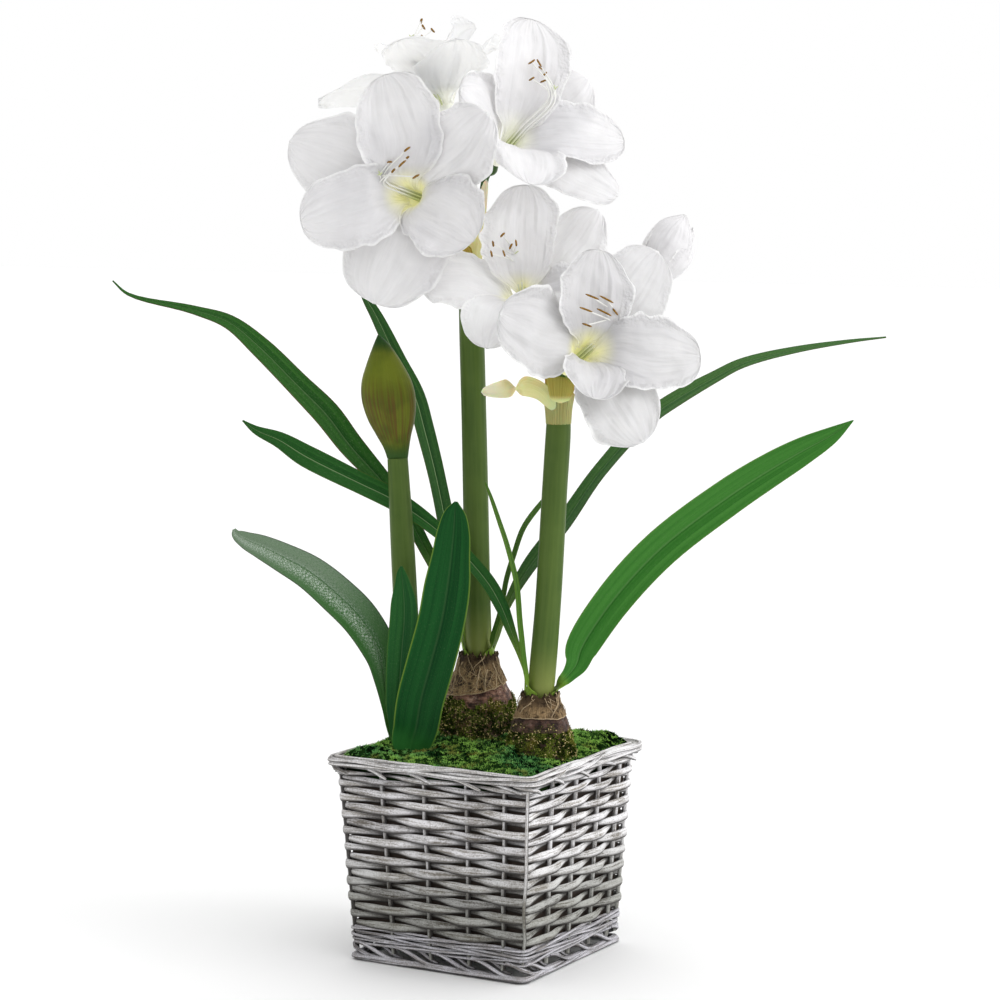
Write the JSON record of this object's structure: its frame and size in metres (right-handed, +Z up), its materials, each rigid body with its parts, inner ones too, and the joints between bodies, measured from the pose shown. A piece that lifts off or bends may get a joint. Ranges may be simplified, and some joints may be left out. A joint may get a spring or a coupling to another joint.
{
  "type": "potted amaryllis in a willow basket",
  "caption": "White amaryllis with strap leaves, open blooms and buds on tall stems, in a square grey willow basket topped with moss.",
  "frame": {"origin": "middle of the whole object's bounding box, on the surface that the basket stands on", "axes": "+Z up; X and Y square to the basket's sides; the plants and the picture's view face out over the basket's corner, turned 30 degrees from -Y towards +X"},
  "size_m": [0.5548, 0.326, 0.7625],
  "materials": {
    "willow": "grey washed, dry",
    "liner": "dull brown film",
    "soil": "crumbly",
    "moss": "tufted",
    "bulb": "papery",
    "stem": "smooth, satin",
    "leaf": "satin",
    "petal": "soft, matte",
    "bract": "thin and papery",
    "closed_bud": "satin"
  },
  "bodies": {
    "root": {"basket_wall": "willow", "basket_rim": "willow", "basket_waling": "willow", "basket_foot": "willow", "basket_lattice": "willow", "basket_base": "willow", "liner": "liner", "soil": "soil", "moss": "moss", "bulb_back": "bulb", "bulb_front": "bulb", "bulb_side": "bulb", "scape_back": "stem", "scape_front": "stem", "scape_side": "stem", "leaf_back_long_left": "leaf", "leaf_back_upper_left": "leaf", "leaf_back_long_right": "leaf", "leaf_back_slim_right": "leaf", "leaf_front_long_left": "leaf", "leaf_front_slim_left": "leaf", "leaf_front_broad_right": "leaf", "leaf_side_arching": "leaf", "leaf_side_small": "leaf", "leaf_side_broad": "leaf", "bloom_left": "petal", "pedicel_left": "stem", "bloom_rear": "petal", "pedicel_rear": "stem", "bloom_right": "petal", "pedicel_right": "stem", "bloom_centre": "petal", "pedicel_centre": "stem", "bloom_low": "petal", "pedicel_low": "stem", "spathe_back": "bract", "spathe_front": "bract", "spathe_closed": "closed_bud", "white_bud": "petal", "pedicel_white_bud": "stem"}
  },
  "joints": []
}
